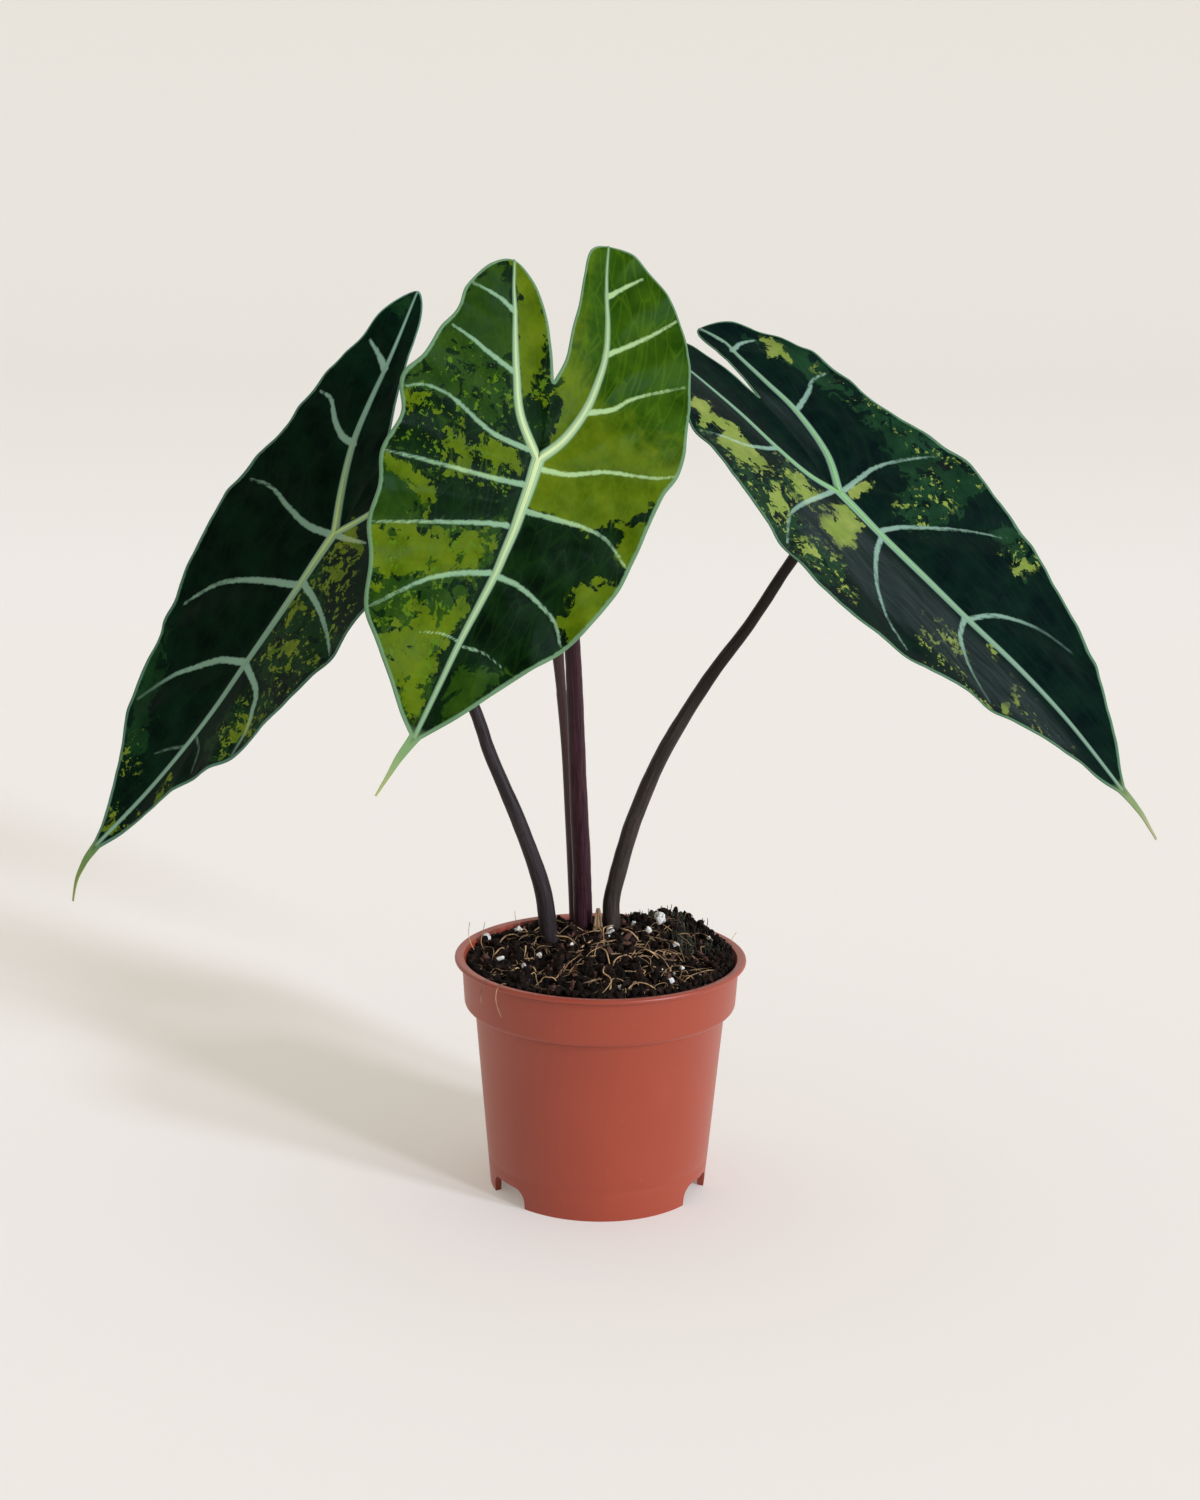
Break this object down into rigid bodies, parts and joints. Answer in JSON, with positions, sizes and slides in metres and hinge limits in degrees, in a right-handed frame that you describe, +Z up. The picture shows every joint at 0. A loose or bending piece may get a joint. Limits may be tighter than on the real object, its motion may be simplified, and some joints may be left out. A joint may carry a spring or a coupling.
{
  "type": "potted dragons tooth alocasia",
  "caption": "Potted aroid house plant: long arrow-shaped variegated leaves with scalloped edges on bare purple stalks, in a tapered plastic nursery pot of peaty soil.",
  "frame": {"origin": "middle of the whole plant's bounding box, at the level of the surface that the pot stands on; the pot's own axis stands 12.6 mm behind it", "axes": "+Z up; +X to the right of a viewer in front of the plant, along its widest spread; +Y away from the viewer"},
  "size_m": [0.4282, 0.157, 0.3819],
  "materials": {
    "moulded_plastic": "matte terracotta-coloured moulded plastic with a faint sheen",
    "peat_mix": "dark peat and coir mix with perlite grains and tan fibres",
    "corm": "brown corm skin",
    "leaf_variegated_lime": "satin leaf, lime and dark green mottling, pale green raised veins and margin",
    "stalk_purple": "smooth maroon-purple stalk with fine lengthwise lines",
    "leaf_dark_left": "satin dark green leaf with pale veins and margin and small lime specks",
    "stalk_black_purple": "smooth purple-black stalk with fine lengthwise lines",
    "leaf_dark_right": "satin blue-green leaf with pale veins and margin and lime patches",
    "stalk_grey_brown": "smooth grey-brown stalk, greener towards the blade",
    "young_leaf": "reddish brown young stalk with a rolled pale green blade",
    "dry_sheath": "dry papery tan sheath"
  },
  "bodies": {
    "root": {"pot": "moulded_plastic", "soil": "peat_mix", "rootstock": "corm", "centre_leaf_blade": "leaf_variegated_lime", "centre_leaf_stalk": "stalk_purple", "left_leaf_blade": "leaf_dark_left", "left_leaf_stalk": "stalk_black_purple", "right_leaf_blade": "leaf_dark_right", "right_leaf_stalk": "stalk_grey_brown", "young_rolled_leaf": "young_leaf", "dry_leaf_sheath": "dry_sheath"}
  },
  "joints": []
}
